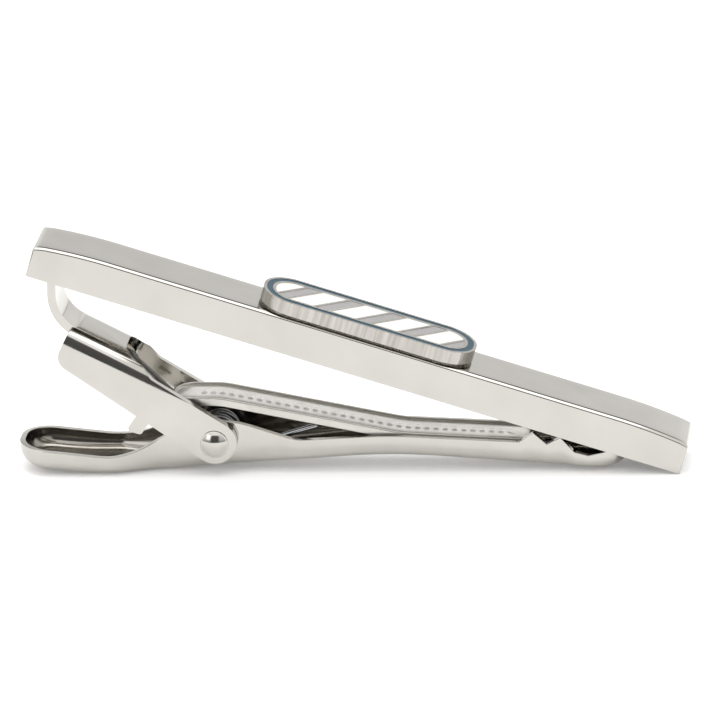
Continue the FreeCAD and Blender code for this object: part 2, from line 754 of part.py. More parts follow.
PLAQUE_FLOOR = "(bar_height + plaque_foot_height)"
PLAQUE_TOP = "(%s + plaque_height)" % PLAQUE_FLOOR


def plaque_layer(name, inset, low, high):
    """Rounded plate on the bar's face, smaller than the plaque by an inset."""
    corners = rectangle(
        "(bar_length - plaque_length) / 2 + " + inset,
        "(bar_length + plaque_length) / 2 - " + inset,
        "(plaque_width / 2 - %s)" % inset,
        "plaque_corner - " + inset,
    )
    return profile_solid(name, "XY_Plane", corners, "%s - %s" % (high, low), low, symmetric=False)


def stripes(name, start, width, low, high):
    """Leaning bars across the plaque's field, one to each white and grey pair."""
    step = "(white_width + grey_width + 2 * cell_line)"
    lean = "(plaque_width / 2 * tan(stripe_lean))"
    first = "((bar_length - plaque_length) / 2 - %s + %s)" % (step, start)
    body = new_body(name)
    sketch = sketch_on(body, name + "_outline", "XY_Plane", low)
    draw_outline(sketch, [
        ("%s - %s" % (first, lean), "-plaque_width / 2", "0"),
        ("%s - %s + %s" % (first, lean, width), "-plaque_width / 2", "0"),
        ("%s + %s + %s" % (first, lean, width), "plaque_width / 2", "0"),
        ("%s + %s" % (first, lean), "plaque_width / 2", "0"),
    ])
    pad = extrude(body, "Pad", sketch, "%s - %s" % (high, low))
    pattern = body.newObject("PartDesign::LinearPattern", name + "_row")
    pattern.Originals = [pad]
    pattern.Direction = (sketch, ["H_Axis"])
    pattern.Occurrences = math.ceil(number("plaque_length / %s" % step)) + 2
    pattern.setExpression("Length", bound("%s * %d" % (step, pattern.Occurrences - 1)))
    body.Tip = pattern
    doc.recompute()
    return body


def cells(prefix, top):
    """Border, white and grey cells of the plaque, from the cells' floor to a given height."""
    floor = "(%s - cell_depth)" % PLAQUE_TOP
    inside = "(cell_line + border_width)"
    field = "(cell_line + border_width + cell_line)"
    border = boolean(
        "Cut",
        prefix + "_border",
        plaque_layer(prefix + "_border_outside", "cell_line", floor, top),
        plaque_layer(prefix + "_border_inside", inside, floor, top),
    )
    white = boolean(
        "Common",
        prefix + "_white",
        plaque_layer(prefix + "_white_field", field, floor, top),
        stripes(prefix + "_white_stripes", "0", "white_width", floor, top),
    )
    grey = boolean(
        "Common",
        prefix + "_grey",
        plaque_layer(prefix + "_grey_field", field, floor, top),
        stripes(prefix + "_grey_stripes", "white_width + cell_line", "grey_width", floor, top),
    )
    return border, white, grey


def build_plaque():
    """Metal plaque with sunk cells, and the enamel that fills them almost to the lines."""
    foot = plaque_layer("plaque_foot", "plaque_foot_inset", "bar_height", PLAQUE_FLOOR)
    plate = plaque_layer("plaque_plate", "0", PLAQUE_FLOOR, PLAQUE_TOP)
    metal = boolean("Fuse", "plaque_blank", plate, foot)
    for sunk in cells("cut", "(%s + cell_depth)" % PLAQUE_TOP):
        metal = boolean("Cut", sunk.Name + "_sunk", metal, sunk)
    pieces = [settle(metal, "emblem_base", BAR_X, BAR_Z, "bar_tilt")]
    fills = cells("fill", "(%s - enamel_dip)" % PLAQUE_TOP)
    for fill, label in zip(fills, ("enamel_border", "enamel_white", "enamel_grey")):
        pieces.append(settle(fill, label, BAR_X, BAR_Z, "bar_tilt"))
    return pieces


pieces = [
    build_front_bar(),
    build_bracket(),
    build_lever(),
    build_grip_plate(),
    build_rivet(),
    build_spring(),
] + build_plaque()
doc.recompute()

for item in doc.Objects:
    if "Invalid" in item.State or "Error" in item.State:
        raise ValueError("%s failed: %s" % (item.Name, item.State))
for piece in pieces:
    if piece.Shape.isNull() or not piece.Shape.isValid():
        raise ValueError("%s has no valid shape" % piece.Label)

os.makedirs("parts", exist_ok=True)
for piece in pieces:
    piece.Shape.exportStep("parts/%s.step" % piece.Label)
    box = piece.Shape.optimalBoundingBox()
    print("%-15s %2d solid(s) %9.3f mm3  x %7.2f %7.2f  y %6.2f %6.2f  z %6.2f %6.2f" % (
        piece.Label, len(piece.Shape.Solids), piece.Shape.Volume,
        box.XMin, box.XMax, box.YMin, box.YMax, box.ZMin, box.ZMax))
print("pivot at x %.4f z %.4f" % (number(PIVOT_X), number(PIVOT_Z)))
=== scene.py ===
# %% [markdown]
# # A sprung tie clip
# The solids of the clip come in as a fixed frame: a bar with a plaque on its face, a folded
# bracket behind the bar, and a trough-shaped lever that a coil spring presses against the bar.
# This lesson dresses that frame with smooth surfaces and metal finishes.

# %% Load the frame
import json
import math

import bmesh
import bpy
import numpy as np
from mathutils import Matrix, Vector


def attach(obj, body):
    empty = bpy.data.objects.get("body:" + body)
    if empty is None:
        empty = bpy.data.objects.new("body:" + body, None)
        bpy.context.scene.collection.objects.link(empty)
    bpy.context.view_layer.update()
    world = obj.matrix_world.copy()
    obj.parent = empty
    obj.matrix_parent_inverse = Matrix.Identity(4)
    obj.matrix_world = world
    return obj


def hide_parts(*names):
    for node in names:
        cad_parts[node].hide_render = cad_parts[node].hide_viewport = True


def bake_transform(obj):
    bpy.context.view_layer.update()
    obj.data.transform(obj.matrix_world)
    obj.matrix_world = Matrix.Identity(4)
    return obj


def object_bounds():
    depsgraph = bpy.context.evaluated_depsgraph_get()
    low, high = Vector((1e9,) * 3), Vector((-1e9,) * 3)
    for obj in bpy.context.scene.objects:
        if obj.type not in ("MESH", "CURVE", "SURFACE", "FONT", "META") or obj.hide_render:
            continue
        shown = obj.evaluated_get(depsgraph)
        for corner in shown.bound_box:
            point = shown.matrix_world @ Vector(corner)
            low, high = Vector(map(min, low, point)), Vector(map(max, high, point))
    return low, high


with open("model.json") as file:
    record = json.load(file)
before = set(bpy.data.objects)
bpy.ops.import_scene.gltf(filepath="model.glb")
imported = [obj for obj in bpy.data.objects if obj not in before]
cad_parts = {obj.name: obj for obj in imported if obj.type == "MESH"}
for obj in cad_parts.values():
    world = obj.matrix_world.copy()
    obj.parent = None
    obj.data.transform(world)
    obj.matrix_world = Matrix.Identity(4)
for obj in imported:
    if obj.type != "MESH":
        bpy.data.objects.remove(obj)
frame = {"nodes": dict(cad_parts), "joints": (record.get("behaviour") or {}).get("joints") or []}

cad_low, cad_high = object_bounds()
scene = bpy.context.scene
nodes = frame["nodes"]
print("frame holds", ", ".join(sorted(nodes)))

# %% [markdown]
# ## Where things are
# Blender works in metres and this clip is 60 mm long, so sizes below are in millimetres and are
# scaled once, when a mesh is made. Every place is given from the pivot, because the lever, the
# rivet and the spring all turn about it. The bracket and the bar lean, so each has a frame of its
# own that is turned about the pivot's axis.

# %% Units, pivot and leaning frames
MM = 0.001
PIVOT = np.array(frame["joints"][0]["pos_m"]) / MM
BRACKET_TILT = 28.0
BAR_TILT = 18.27
BAR_CORNER = (-15.9736, 15.7321)


def leaning(points, degrees, corner=(0.0, 0.0)):
    """Points of a piece's own frame, turned nose down about Y and moved to a corner in X and Z."""
    cos, sin = math.cos(math.radians(degrees)), math.sin(math.radians(degrees))
    x, y, z = np.moveaxis(points, -1, 0)
    return np.stack([corner[0] + x * cos + z * sin, y, corner[1] - x * sin + z * cos], axis=-1)


print("pivot at", PIVOT.round(3), "mm")

# %% [markdown]
# ## Lines with round corners
# Pressed metal is drawn with straight runs and tangent arcs, as on a drawing board. One could
# model such a line with a Bezier curve, but two small functions keep the radii exact: the first
# turns each corner with an arc, the second cuts long runs into short ones so that they can bend.

# %% Rounded lines


def rounded_line(corners, steps=10):
    """Points along straight runs between corners (a, b, radius), each corner turned by a tangent arc.

    The arc's centre is on the corner's bisector at radius / sin(half angle), and its points are
    the two tangent points turned into each other about that centre.
    """
    places = np.array([corner[:2] for corner in corners], float)
    line = [places[0]]
    for before, corner, after, (_, _, radius) in zip(places, places[1:], places[2:], corners[1:]):
        if radius == 0:
            line.append(corner)
            continue
        back = (before - corner) / np.linalg.norm(before - corner)
        ahead = (after - corner) / np.linalg.norm(after - corner)
        half = math.acos(np.clip(back @ ahead, -1, 1)) / 2
        centre = corner + (back + ahead) / np.linalg.norm(back + ahead) * radius / math.sin(half)
        start = corner + back * radius / math.tan(half) - centre
        end = corner + ahead * radius / math.tan(half) - centre
        turn = math.pi - 2 * half
        share = np.linspace(0, 1, steps)[:, None]
        arc = start * np.sin((1 - share) * turn) + end * np.sin(share * turn)
        line.extend(centre + arc / math.sin(turn))
    line.append(places[-1])
    return np.array(line)


def divided(line, step):
    """The same line with every run cut into equal lengths no longer than the step."""
    runs = np.linalg.norm(np.diff(line, axis=0), axis=1)
    counts = np.maximum(1, np.ceil(runs / step - 1e-6)).astype(int)
    spots = np.concatenate([i + np.arange(n) / n for i, n in enumerate(counts)] + [[len(runs)]])
    return np.column_stack([np.interp(spots, np.arange(len(line)), column) for column in line.T])


def mirrored_loop(half):
    """Closed outline from its half at positive y, which starts and ends on the middle line."""
    return np.concatenate([half, (half * (1, -1))[-2:0:-1]])


# %% [markdown]
# ## Rings that close in on a middle line
# The bar, the lever and the grip plate are all closed outlines with a section carried round them.
# Each can be written as one grid: a column for each point of the outline, and a row for each
# point of the section. A row moves the outline inwards by an inset, and a share takes it the rest
# of the way to the middle line, where the two halves meet and close the surface.

# %% Ring grids and meshes


def ring_grid(outline, middle, rows):
    """Plan places (row, column, xy): outline moved in by an inset, then by a share to the middle.

    The inward direction of a point is the bisector of its two neighbouring runs, turned by a
    right angle. A corner that is rounded by less than the inset would fold over, so places are kept
    inside the outline's box, moved in by the same inset.
    """
    runs = np.roll(outline, -1, axis=0) - outline
    runs /= np.linalg.norm(runs, axis=1, keepdims=True)
    along = runs + np.roll(runs, 1, axis=0)
    along /= np.linalg.norm(along, axis=1, keepdims=True)
    inward = np.column_stack([along[:, 1], -along[:, 0]])
    inset, share = (np.array([row[i] for row in rows])[:, None, None] for i in (0, 1))
    edge = np.clip(outline + inset * inward, outline.min(axis=0) + inset, outline.max(axis=0) - inset)
    return edge + (middle - edge) * share


def middle_line(outline, margin):
    """For each outline point, its place on the middle line, which stops a margin short of the ends."""
    x = outline[:, 0]
    return np.column_stack([np.clip(x, x.min() + margin, x.max() - margin), np.zeros_like(x)])


def grid_piece(name, grid, sharp=40):
    """Object from a grid of points (row, column, xyz) in millimetres from the pivot.

    Neighbouring points make quads, the last column joins the first, points that meet are merged,
    and edges that turn by more than the sharp angle keep a crease.
    """
    rows, columns = grid.shape[:2]
    number = np.arange(rows * columns).reshape(rows, columns)
    ahead = np.roll(number, -1, axis=1)
    quads = np.stack([number[:-1], ahead[:-1], ahead[1:], number[1:]], axis=-1).reshape(-1, 4)
    mesh = bpy.data.meshes.new(name)
    mesh.from_pydata((grid.reshape(-1, 3) + PIVOT) * MM, [], quads)
    joined = bmesh.new()
    joined.from_mesh(mesh)
    bmesh.ops.remove_doubles(joined, verts=joined.verts, dist=1e-7)
    if all(edge.is_manifold for edge in joined.edges):
        bmesh.ops.recalc_face_normals(joined, faces=joined.faces)
    joined.to_mesh(mesh)
    joined.free()
    mesh.shade_smooth()
    mesh.set_sharp_from_angle(angle=math.radians(sharp))
    piece = bpy.data.objects.new(name, mesh)
    scene.collection.objects.link(piece)
    print(name, len(mesh.polygons), "faces")
    return piece


def ease_edges(piece, width, angle=40):
    """Rounds every edge that turns by more than the angle, as plating and tumbling do."""
    bevel = piece.modifiers.new("eased edges", "BEVEL")
    bevel.width = width * MM
    bevel.segments = 2
    bevel.limit_method = "ANGLE"
    bevel.angle_limit = math.radians(angle)
    bevel.harden_normals = True


def settle(piece, body, slot, finish, *replaced):
    """Puts a finish on a piece, lets it ride on a body and hides the solids that it stands for."""
    piece.data.materials.clear()
    piece.data.materials.append(finish)
    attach(piece, body)
    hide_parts(*replaced)


# %% [markdown]
# ## Colours and nodes
# Colours are written as the hex values that a colour picker shows. Shaders calculate with light,
# so one function takes the display curve off. Another adds a node with its settings and links,
# which is all that the finishes below need.

# %% Colour and node helpers


def linear(code):
    """RGBA in linear light from an sRGB hex code: the standard curve, undone for each channel."""
    channels = np.array([int(code[i:i + 2], 16) for i in (1, 3, 5)]) / 255
    light = np.where(channels <= 0.04045, channels / 12.92, ((channels + 0.055) / 1.055) ** 2.4)
    return (*light.tolist(), 1.0)


def add_node(tree, kind, inputs=None, **settings):
    """One node: settings are its properties, inputs gives sockets a value or another node's output."""
    node = tree.nodes.new(kind)
    for name, value in settings.items():
        setattr(node, name, value)
    for socket, value in (inputs or {}).items():
        if isinstance(value, bpy.types.NodeSocket):
            tree.links.new(value, node.inputs[socket])
        else:
            node.inputs[socket].default_value = value
    return node


def new_finish(name):
    """Empty node material with its shader and Object coordinates, which stay with the metal as it moves."""
    finish = bpy.data.materials.new(name)
    finish.use_nodes = True
    tree = finish.node_tree
    place = add_node(tree, "ShaderNodeTexCoord").outputs["Object"]
    return finish, tree, tree.nodes["Principled BSDF"], place


def per_metre(size_mm):
    """Texture scale that repeats about once in a size in millimetres."""
    return 1 / (size_mm * MM)


# %% [markdown]
# ## Bright nickel plate
# The bar, bracket, lever and rivet are brass or steel, polished and nickel plated. Nickel is a
# slightly warm, fairly dark mirror. Tumbling before plating leaves a faint ripple and a film of
# handling haze, so reflections wobble and are never perfectly sharp. Inside the drawn lever the
# polishing wheel can't reach, so the same finish is made again there, duller and with the sheet's
# grain in place of the ripple. It is also darker: painted shade for the lever's deep hollow.

# %% Bright plate


def bright_plate(name, tone, dull, clear, hazy, ripple_size, ripple_strength):
    """Nickel: a warm grey mirror, hazy in patches between two tones and two roughnesses, with a ripple."""
    finish, tree, shader, place = new_finish(name)
    haze = add_node(tree, "ShaderNodeTexNoise", {"Vector": place, "Scale": per_metre(4.0), "Detail": 3.0})
    gloss = add_node(tree, "ShaderNodeMapRange", {
        "Value": haze.outputs["Fac"], "From Min": 0.3, "From Max": 0.7, "To Min": clear, "To Max": hazy,
    })
    colour = add_node(tree, "ShaderNodeMix", {
        "Factor": haze.outputs["Fac"], "A": linear(tone), "B": linear(dull),
    }, data_type="RGBA")
    ripple = add_node(tree, "ShaderNodeTexNoise", {
        "Vector": place, "Scale": per_metre(ripple_size), "Detail": 1.0,
    })
    bump = add_node(tree, "ShaderNodeBump", {
        "Height": ripple.outputs["Fac"], "Strength": ripple_strength, "Distance": 0.02 * MM,
    })
    tree.links.new(colour.outputs["Result"], shader.inputs["Base Color"])
    tree.links.new(gloss.outputs["Result"], shader.inputs["Roughness"])
    tree.links.new(bump.outputs["Normal"], shader.inputs["Normal"])
    shader.inputs["Metallic"].default_value = 1.0
    return finish


BRIGHT_PLATE = bright_plate("bright nickel plate", "#C8C5BF", "#BAB7B1", 0.07, 0.15, 2.5, 0.15)
# Darker tones for the inside of the lever: painted shade for its hollow, on a duller grained finish.
SHADED_RECESS_PLATE = bright_plate("unpolished nickel plate with painted shade", "#A29E97", "#8A867F", 0.1, 0.2, 0.35, 0.4)

# %% [markdown]
# ## Struck plate
# The plaque is struck from sheet and trimmed in a press, which leaves fine scores down its sides.
# They are a noise that is stretched across the sheet: the coordinates are turned to the bar's lean
# and squeezed along the sheet's thickness.

# %% Struck plate


def struck_plate():
    """Trimmed nickel: bright and dull scores, coarser than real ones so that they show."""
    finish, tree, shader, place = new_finish("struck nickel plate")
    down = add_node(tree, "ShaderNodeMapping", {
        "Vector": place, "Rotation": (0.0, math.radians(BAR_TILT), 0.0), "Scale": (1.0, 1.0, 20.0),
    }, vector_type="TEXTURE").outputs["Vector"]
    score = add_node(tree, "ShaderNodeTexNoise", {"Vector": down, "Scale": per_metre(0.3), "Detail": 2.0})
    tone = add_node(tree, "ShaderNodeMix", {
        "Factor": score.outputs["Fac"], "A": linear("#948F88"), "B": linear("#D0CDC7"),
    }, data_type="RGBA")
    gloss = add_node(tree, "ShaderNodeMapRange", {
        "Value": score.outputs["Fac"], "From Min": 0.3, "From Max": 0.7, "To Min": 0.3, "To Max": 0.14,
    })
    bump = add_node(tree, "ShaderNodeBump", {
        "Height": score.outputs["Fac"], "Strength": 0.4, "Distance": 0.03 * MM,
    })
    tree.links.new(tone.outputs["Result"], shader.inputs["Base Color"])
    tree.links.new(gloss.outputs["Result"], shader.inputs["Roughness"])
    tree.links.new(bump.outputs["Normal"], shader.inputs["Normal"])
    shader.inputs["Metallic"].default_value = 1.0
    return finish


STRUCK_PLATE = struck_plate()

# %% [markdown]
# ## Satin plate
# The grip plate isn't polished like the rest. Its rim is satin, and its floor is stamped with a fine
# grain that scatters light, so that it reads flatter. A noise at grit size gives the grain, and the
# two areas have tones of their own: the floor's is nearly white, painted light that lifts it in the bar's
# shade.

# %% Satin plate


def satin_plate(name, tone, dull):
    """Grained nickel between two tones: the same metal, rougher, with pits the size of coarse grit."""
    finish, tree, shader, place = new_finish(name)
    grit = add_node(tree, "ShaderNodeTexNoise", {"Vector": place, "Scale": per_metre(0.2), "Detail": 2.0})
    cloud = add_node(tree, "ShaderNodeTexNoise", {"Vector": place, "Scale": per_metre(1.5), "Detail": 2.0})
    colour = add_node(tree, "ShaderNodeMix", {
        "Factor": cloud.outputs["Fac"], "A": linear(tone), "B": linear(dull),
    }, data_type="RGBA")
    gloss = add_node(tree, "ShaderNodeMapRange", {
        "Value": cloud.outputs["Fac"], "From Min": 0.3, "From Max": 0.7, "To Min": 0.28, "To Max": 0.36,
    })
    bump = add_node(tree, "ShaderNodeBump", {
        "Height": grit.outputs["Fac"], "Strength": 0.3, "Distance": 0.02 * MM,
    })
    tree.links.new(colour.outputs["Result"], shader.inputs["Base Color"])
    tree.links.new(gloss.outputs["Result"], shader.inputs["Roughness"])
    tree.links.new(bump.outputs["Normal"], shader.inputs["Normal"])
    shader.inputs["Metallic"].default_value = 1.0
    return finish


SATIN_PLATE = satin_plate("satin nickel plate", "#CFCCC6", "#C3C0BA")
# The floor's nearly white tone is painted light that lifts the floor where the bar shades it.
GRAINED_PLATE_WITH_PAINTED_LIGHT = satin_plate("grained nickel plate with painted light", "#FAF7F2", "#EEEBE5")

# %% [markdown]
# ## Spring steel
# The spring is hard-drawn music wire. Drawing leaves its surface a little uneven, and the steel is
# darker and bluer than the nickel round it. At this size soft patches of tone and gloss are enough.

# %% Spring wire


def spring_steel():
    """Drawn steel wire: grey metal in soft patches between two tones and two roughnesses."""
    finish, tree, shader, place = new_finish("drawn spring steel")
    patch = add_node(tree, "ShaderNodeTexNoise", {"Vector": place, "Scale": per_metre(0.6), "Detail": 2.0})
    tone = add_node(tree, "ShaderNodeMix", {
        "Factor": patch.outputs["Fac"], "A": linear("#9C9DA0"), "B": linear("#B3B4B6"),
    }, data_type="RGBA")
    gloss = add_node(tree, "ShaderNodeMapRange", {
        "Value": patch.outputs["Fac"], "To Min": 0.1, "To Max": 0.2,
    })
    bump = add_node(tree, "ShaderNodeBump", {
        "Height": patch.outputs["Fac"], "Strength": 0.06, "Distance": 0.01 * MM,
    })
    tree.links.new(tone.outputs["Result"], shader.inputs["Base Color"])
    tree.links.new(gloss.outputs["Result"], shader.inputs["Roughness"])
    tree.links.new(bump.outputs["Normal"], shader.inputs["Normal"])
    shader.inputs["Metallic"].default_value = 1.0
    return finish


SPRING_STEEL = spring_steel()

# %% [markdown]
# ## Enamel
# Soft enamel is coloured resin, baked in the sunk cells of the plaque. It is glossy, pools a
# little unevenly and holds pigment specks, so each colour is a mix of two near tones under a
# clear coat.

# %% Enamel colours


def enamel(name, tone, deep):
    """Baked enamel: two near tones in soft clouds, a slight orange peel and a clear gloss."""
    finish, tree, shader, place = new_finish(name)
    pool = add_node(tree, "ShaderNodeTexNoise", {"Vector": place, "Scale": per_metre(0.8), "Detail": 4.0})
    colour = add_node(tree, "ShaderNodeMix", {
        "Factor": pool.outputs["Fac"], "A": linear(tone), "B": linear(deep),
    }, data_type="RGBA")
    bump = add_node(tree, "ShaderNodeBump", {
        "Height": pool.outputs["Fac"], "Strength": 0.15, "Distance": 0.02 * MM,
    })
    tree.links.new(colour.outputs["Result"], shader.inputs["Base Color"])
    tree.links.new(bump.outputs["Normal"], shader.inputs["Normal"])
    shader.inputs["Roughness"].default_value = 0.3
    shader.inputs["Specular IOR Level"].default_value = 0.3
    shader.inputs["Coat Weight"].default_value = 0.1
    shader.inputs["Coat Roughness"].default_value = 0.05
    return finish


ENAMELS = {
    "enamel_border": ("teal_enamel", enamel("teal enamel", "#0F4658", "#0B3646")),
    "enamel_white": ("white_enamel", enamel("white enamel", "#F1F0EC", "#E4E2DD")),
    "enamel_grey": ("grey_enamel", enamel("grey enamel", "#A6A4A2", "#949290")),
}
for node, (_, finish) in ENAMELS.items():
    nodes[node].data.materials.clear()
    nodes[node].data.materials.append(finish)

# %% [markdown]
# ## The bar
# The bar is a pressed shell: a flat face that falls away slightly and then rolls over at both ends,
# soft face edges, upright sides and an open back. Its section starts on the ceiling of the hollow,
# goes down the inner wall, round the back rim, up the outer side, over the soft edge and across the
# face. The edge is a quarter of a flat ellipse, because polishing wears the face more than the side.

# %% Front bar
BAR_LENGTH, BAR_WIDTH, BAR_WALL = 60.0, 6.0, 0.8
BAR_HEIGHT, BAR_END_HEIGHT, BAR_END_RUN = 3.35, 2.9, 4.2
BAR_CROWN_SHARE = 0.65
BAR_CROWN = 2 * BAR_CROWN_SHARE * BAR_END_RUN ** 2 / (BAR_HEIGHT - BAR_END_HEIGHT)
BAR_EDGE_IN, BAR_EDGE_DOWN, BAR_HOLLOW, BAR_CORNER_ROUND = 0.5, 0.27, 2.1, 0.2
BAR_ROLL_RUN, BAR_ROLL_DROP, BAR_ROLL_ROUND = 0.8, 0.12, 5.0
BAR_STEP, HOLLOW_MARGIN = 0.12, 0.1
QUARTER_TURN = np.linspace(0, math.pi / 2, 13)


def front_bar():
    """Ring grid: a row has an inset, a share to the middle, a height and if it hangs from the face."""
    half = rounded_line([
        (0, 0, 0),
        (0, BAR_WIDTH / 2, BAR_CORNER_ROUND),
        (BAR_LENGTH, BAR_WIDTH / 2, BAR_CORNER_ROUND),
        (BAR_LENGTH, 0, 0),
    ], steps=6)
    outline = mirrored_loop(divided(half, BAR_STEP))
    back = [(BAR_WALL, 1, BAR_HOLLOW, 0), (BAR_WALL, 0, BAR_HOLLOW, 0), (BAR_WALL, 0, 0, 0), (0, 0, 0, 0)]
    edge = [
        (BAR_EDGE_IN * (1 - math.cos(a)), 0, BAR_EDGE_DOWN * (math.sin(a) - 1), 1)
        for a in QUARTER_TURN
    ]
    face = [(BAR_EDGE_IN, share, 0, 1) for share in (0.25, 0.5, 0.75, 1)]
    rows = back + edge + face
    plan = ring_grid(outline, middle_line(outline, BAR_WALL + HOLLOW_MARGIN), rows)
    roll_height = np.interp(BAR_ROLL_RUN, (0, BAR_END_RUN), (BAR_END_HEIGHT, BAR_HEIGHT))
    crown = rounded_line([
        (0, BAR_END_HEIGHT - BAR_ROLL_DROP, 0),
        (BAR_ROLL_RUN, roll_height, BAR_ROLL_ROUND),
        (BAR_END_RUN, BAR_HEIGHT, BAR_CROWN),
        (BAR_LENGTH - BAR_END_RUN, BAR_HEIGHT, BAR_CROWN),
        (BAR_LENGTH - BAR_ROLL_RUN, roll_height, BAR_ROLL_ROUND),
        (BAR_LENGTH, BAR_END_HEIGHT - BAR_ROLL_DROP, 0),
    ])
    height, hangs = (np.array([row[i] for row in rows])[:, None] for i in (2, 3))
    face_height = np.interp(plan[..., 0], crown[:, 0], crown[:, 1])
    grid = np.concatenate([plan, (height + hangs * face_height)[..., None]], axis=-1)
    return grid_piece("bar", leaning(grid, BAR_TILT, BAR_CORNER))


bar = front_bar()
ease_edges(bar, 0.05)
settle(bar, "bar_side", "bright_plate", BRIGHT_PLATE, "front_bar")

# %% [markdown]
# ## The lever
# The lever is drawn from one sheet into a boat shape: a wide thumb dish, a waist between the
# ears, and a slim jaw with teeth near its nose. Only the outside is drawn here, from the rim down
# the wall, round the bottom edge and in to the keel. A Solidify modifier then gives it the
# sheet's thickness inwards, and a small bevel rounds the sheared rim.

# %% Lever outlines
THUMB_END, NOSE_END = -17.84, 36.2
THUMB_HALF, NECK_HALF, JAW_HALF = 3.35, 2.45, 2.65
LEVER_SHEET = 0.5
BOTTOM_IN, BOTTOM_UP_SHARE, BOTTOM_UP_MOST = 1.5, 0.7, 1.9
TOOTH_FIRST, TOOTH_PITCH = 28.2, 2.4
TOOTH_SECOND = TOOTH_FIRST + TOOTH_PITCH
TEETH_FROM, TEETH_TO = 26.0, 33.9
MOUTH_MIDDLE, MOUTH_END, NOSE_GAP = 33.0, 34.6, 0.1
LEVER_STEP = 0.15


def bar_back(x):
    """Height of the bar's back over the pivot at a place x."""
    return BAR_CORNER[1] - (x - BAR_CORNER[0]) * math.tan(math.radians(BAR_TILT))


RIM = rounded_line([
    (THUMB_END - LEVER_SHEET, -0.29, 0),
    (-7.87, -1.5, 8),
    (-0.9, 2.68, 9),
    (7.17, 0.09, 5),
    (15.4, 0.5, 40),
    (27.0, -0.11, 0),
    (TOOTH_FIRST, bar_back(TOOTH_FIRST) - 0.4, 0),
    (TOOTH_FIRST + TOOTH_PITCH / 2, -0.35, 0),
    (TOOTH_SECOND, bar_back(TOOTH_SECOND) - 0.08, 0),
    (TOOTH_SECOND + TOOTH_PITCH / 2, -1.09, 0),
    (MOUTH_MIDDLE, -1.42, 0),
    (MOUTH_END, bar_back(MOUTH_END) - NOSE_GAP, 0),
    (NOSE_END + LEVER_SHEET, bar_back(NOSE_END + LEVER_SHEET) - NOSE_GAP, 0),
])
KEEL = rounded_line([
    (THUMB_END - LEVER_SHEET, -2.41, 0),
    (-12.5, -3.08, 40),
    (-5.0, -3.08, 40),
    (15.5, -1.535, 60),
    (NOSE_END - 3.0, -2.9, 15),
    (NOSE_END + LEVER_SHEET, -2.9, 0),
])
JAW_MARKS = [(x, JAW_HALF, 0) for x in RIM[:, 0] if TEETH_FROM < x < TEETH_TO]
PLAN = rounded_line([
    (THUMB_END, 0, 0),
    (THUMB_END, THUMB_HALF, 2.9),
    (-9.0, THUMB_HALF, 4),
    (-5.2, NECK_HALF, 4),
    (3.2, NECK_HALF, 4),
    (7.0, JAW_HALF, 4),
    *JAW_MARKS,
    (NOSE_END, JAW_HALF, 2.2),
    (NOSE_END, 0, 0),
], steps=16)

# %% Lever shell


def lever_shell():
    """Ring grid of the outside: wall rows under the rim, a quarter of an ellipse, then the keel.

    The ellipse goes in by a fixed length and up by a share of the wall's height, within a limit.
    A wall row's height is a share of the way from the rim to the top of that ellipse.
    """
    outline = mirrored_loop(divided(PLAN, LEVER_STEP))
    wall = [(0, 0, share) for share in (0, 0.2, 0.4, 0.6, 0.8)]
    bottom = [(BOTTOM_IN * (1 - math.cos(a)), 0, 1) for a in QUARTER_TURN]
    floor = [(BOTTOM_IN, share, 1) for share in (0.3, 0.6, 1)]
    rows = wall + bottom + floor
    plan = ring_grid(outline, middle_line(outline, THUMB_HALF), rows)
    rim = np.interp(plan[..., 0], RIM[:, 0], RIM[:, 1])
    keel = np.interp(plan[..., 0], KEEL[:, 0], KEEL[:, 1])
    lift = np.concatenate([np.ones(len(wall)), 1 - np.sin(QUARTER_TURN), np.zeros(len(floor))])[:, None]
    curve = keel + lift * np.minimum(BOTTOM_UP_SHARE * (rim - keel), BOTTOM_UP_MOST)
    down = np.array([row[2] for row in rows])[:, None]
    height = rim + (curve - rim) * down
    return grid_piece("lever_trough", np.concatenate([plan, height[..., None]], axis=-1))


trough = lever_shell()
sheet = trough.modifiers.new("sheet", "SOLIDIFY")
sheet.thickness = LEVER_SHEET * MM
sheet.offset = -1
sheet.use_even_offset = True
# The inner side takes the second material, whose darker tone is painted shade.
sheet.material_offset = 1
ease_edges(trough, 0.07)
settle(trough, "lever_side", "bright_plate", BRIGHT_PLATE, "lever")
# Second material: the darker plate, painted shade inside the trough.
trough.data.materials.append(SHADED_RECESS_PLATE)

# %% [markdown]
# ## The grip plate
# A shallow tray lies in the jaw and bridges the spring. It is bent from one strip, with a raised
# rim round its sides and back. The section goes from the underside, up the outer side, over the
# rim's soft top and down to the tray's floor. At the front the rim fades away, because the strip is
# cut off there.

# %% Grip plate
GRIP_BACK, GRIP_HALF, GRIP_ROUND = -3.92, 2.1, 2.0
GRIP_DEPTH, GRIP_RIM, GRIP_RIM_WIDTH, GRIP_FILLET = 0.85, 0.22, 0.3, 0.05
GRIP_FLOOR = GRIP_RIM_WIDTH + GRIP_FILLET
GRIP_CHAMFER, GRIP_FRONT_ROUND, GRIP_STEP = 0.1, 0.1, 0.07
RIM_FADE_START, RIM_FADE_RUN, RIM_FADE_SIDE = 0.3, 0.25, 0.05
GRIP_START, GRIP_BEND, GRIP_SEAT, GRIP_FRONT = (-7.84, 4.03), (0.48, 3.95), (16.5, 0.63), (27.7, 0.0)
GRIP_LINE = rounded_line([(*GRIP_START, 0), (*GRIP_BEND, 8), (*GRIP_SEAT, 15), (*GRIP_FRONT, 0)], 24)


